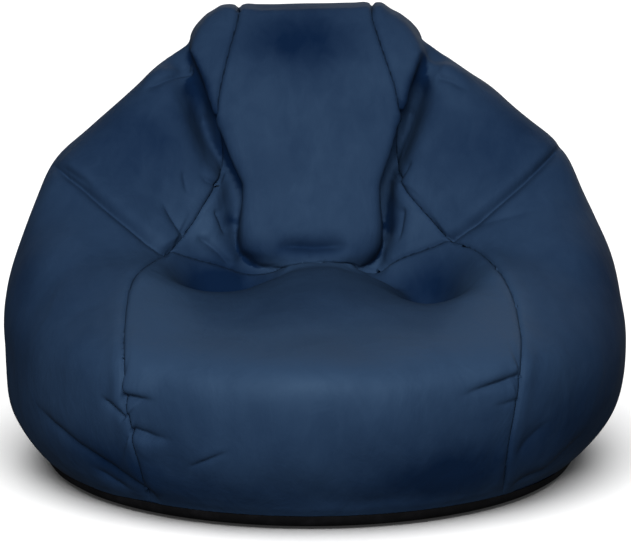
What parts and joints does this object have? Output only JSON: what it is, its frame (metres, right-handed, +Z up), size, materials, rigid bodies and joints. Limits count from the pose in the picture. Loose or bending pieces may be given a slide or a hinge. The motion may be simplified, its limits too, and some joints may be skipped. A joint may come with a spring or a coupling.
{
  "type": "bean bag chair",
  "caption": "Soft floor chair: a low round bag with a seat hollow and a sloped back with a padded headrest, in a zipped fabric cover.",
  "frame": {"origin": "on the floor, midway between the front and rear and between the left and right limits of the bag", "axes": "+Z up from the floor, -Y the way the sitter faces, +X the viewer's right when looking at the front"},
  "size_m": [0.9, 0.9, 0.6467],
  "materials": {
    "cover_cloth": "navy brushed faux suede",
    "base_cloth": "black woven base cloth",
    "thread": "spun polyester thread",
    "zip_tape": "black woven tape",
    "zip_teeth": "black moulded plastic",
    "zip_metal": "dark painted zinc",
    "label_cloth": "white woven ribbon, blank",
    "liner_cloth": "white polyester lining",
    "liner_coil": "white nylon coil",
    "beads": "white expanded polystyrene beads"
  },
  "bodies": {
    "bag": {"seat_panel": "cover_cloth", "back_panel": "cover_cloth", "rear_panel": "cover_cloth", "side_panel_left": "cover_cloth", "side_panel_right": "cover_cloth", "base_panel_front": "base_cloth", "base_panel_rear": "base_cloth", "seat_seam_threads": "thread", "back_seam_threads": "thread", "rear_seam_threads": "thread", "cross_seam_threads": "thread", "base_seam_thread": "thread", "base_zip_tape_front": "zip_tape", "base_zip_tape_rear": "zip_tape", "base_zip_teeth_front": "zip_teeth", "base_zip_teeth_rear": "zip_teeth", "base_zip_stops": "zip_metal", "care_label": "label_cloth", "liner": "liner_cloth", "liner_zip_tape_front": "liner_cloth", "liner_zip_tape_rear": "liner_cloth", "liner_zip_coils": "liner_coil", "liner_zip_stops": "zip_metal", "bead_fill": "beads"},
    "cover_zip_slider": {"base_zip_slider": "zip_metal"},
    "inner_zip_slider": {"liner_zip_slider": "zip_metal"}
  },
  "joints": [
    {"name": "cover_zip", "type": "slide", "parent": "bag", "child": "cover_zip_slider", "axis": [1, 0, 0], "range_m": [0, 0.506]},
    {"name": "liner_zip", "type": "slide", "parent": "bag", "child": "inner_zip_slider", "axis": [1, 0, 0], "range_m": [0, 0.302]}
  ]
}
